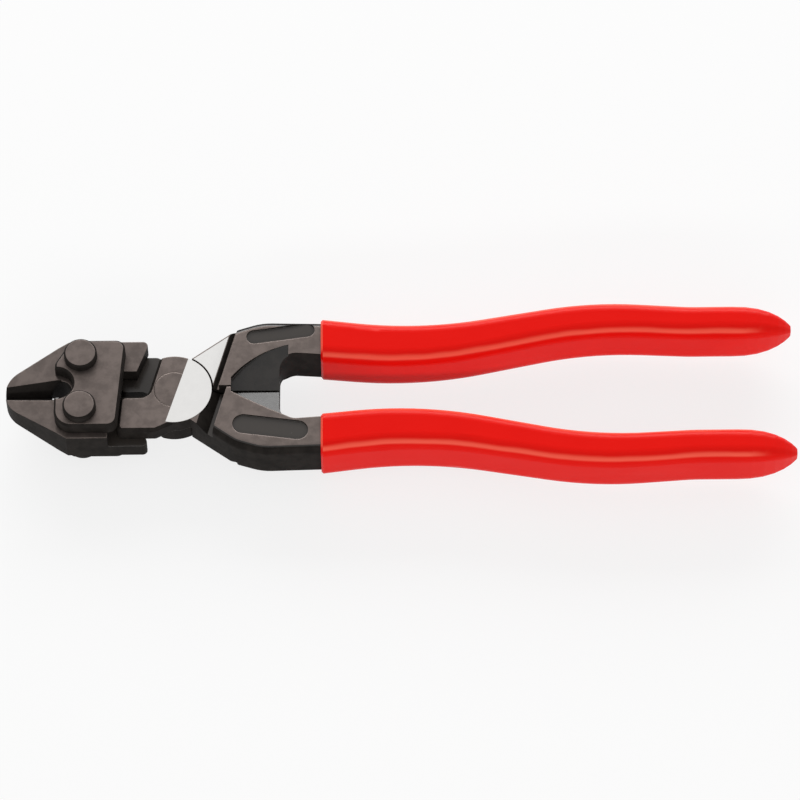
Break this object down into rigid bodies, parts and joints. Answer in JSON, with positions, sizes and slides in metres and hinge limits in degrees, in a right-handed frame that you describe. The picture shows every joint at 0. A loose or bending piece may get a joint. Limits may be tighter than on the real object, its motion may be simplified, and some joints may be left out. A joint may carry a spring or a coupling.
{
  "type": "compact bolt cutters",
  "caption": "Compact lever-action bolt cutters with bevelled jaws between link plates, lapped forged levers and slim red dipped grips.",
  "frame": {"origin": "under the middle of the tool, on the plane that the back rivet heads lie on", "axes": "+X from the jaws to the grip ends, +Y from the lower to the upper jaw, +Z out of the front face"},
  "size_m": [0.16, 0.038, 0.0167],
  "materials": {
    "blade_steel": "dark phosphated forging with ground faces",
    "plate_steel": "dark phosphated plate",
    "rivet_steel": "dark phosphated rivet",
    "lever_steel": "dark phosphated forging",
    "grip_plastic": "smooth dipped plastic"
  },
  "bodies": {
    "lower_lever": {"lower_handle": "lever_steel", "lower_grip": "grip_plastic", "main_pivot_rivet": "rivet_steel", "lower_tail_pin": "rivet_steel"},
    "upper_lever": {"upper_handle": "lever_steel", "upper_grip": "grip_plastic", "upper_tail_pin": "rivet_steel"},
    "lower_cutter": {"lower_jaw": "blade_steel"},
    "link_plates": {"front_link_plate": "plate_steel", "back_link_plate": "plate_steel", "upper_jaw_rivet": "rivet_steel", "lower_jaw_rivet": "rivet_steel"},
    "upper_cutter": {"upper_jaw": "blade_steel"}
  },
  "joints": [
    {"name": "handle_pivot", "type": "hinge", "parent": "lower_lever", "child": "upper_lever", "pos_m": [-0.0458, 0, 0.00835], "axis": [0, 0, 1], "range_deg": [0, 25]},
    {"name": "lower_tail_pivot", "type": "hinge", "parent": "lower_lever", "child": "lower_cutter", "pos_m": [-0.0546, -0.007, 0.00835], "axis": [0, 0, 1], "range_deg": [0, 24.3]},
    {"name": "lower_jaw_pivot", "type": "hinge", "parent": "lower_cutter", "child": "link_plates", "pos_m": [-0.0646, -0.006, 0.00835], "axis": [0, 0, 1], "range_deg": [-11.8, 0]},
    {"name": "upper_jaw_pivot", "type": "hinge", "parent": "link_plates", "child": "upper_cutter", "pos_m": [-0.0646, 0.006, 0.00835], "axis": [0, 0, 1], "range_deg": [-11.8, 0]}
  ],
  "couplings": [
    {"joint": "lower_tail_pivot", "follows": "handle_pivot", "ratio": 0.9693},
    {"joint": "lower_jaw_pivot", "follows": "handle_pivot", "ratio": -0.4685},
    {"joint": "upper_jaw_pivot", "follows": "handle_pivot", "ratio": -0.4685}
  ]
}
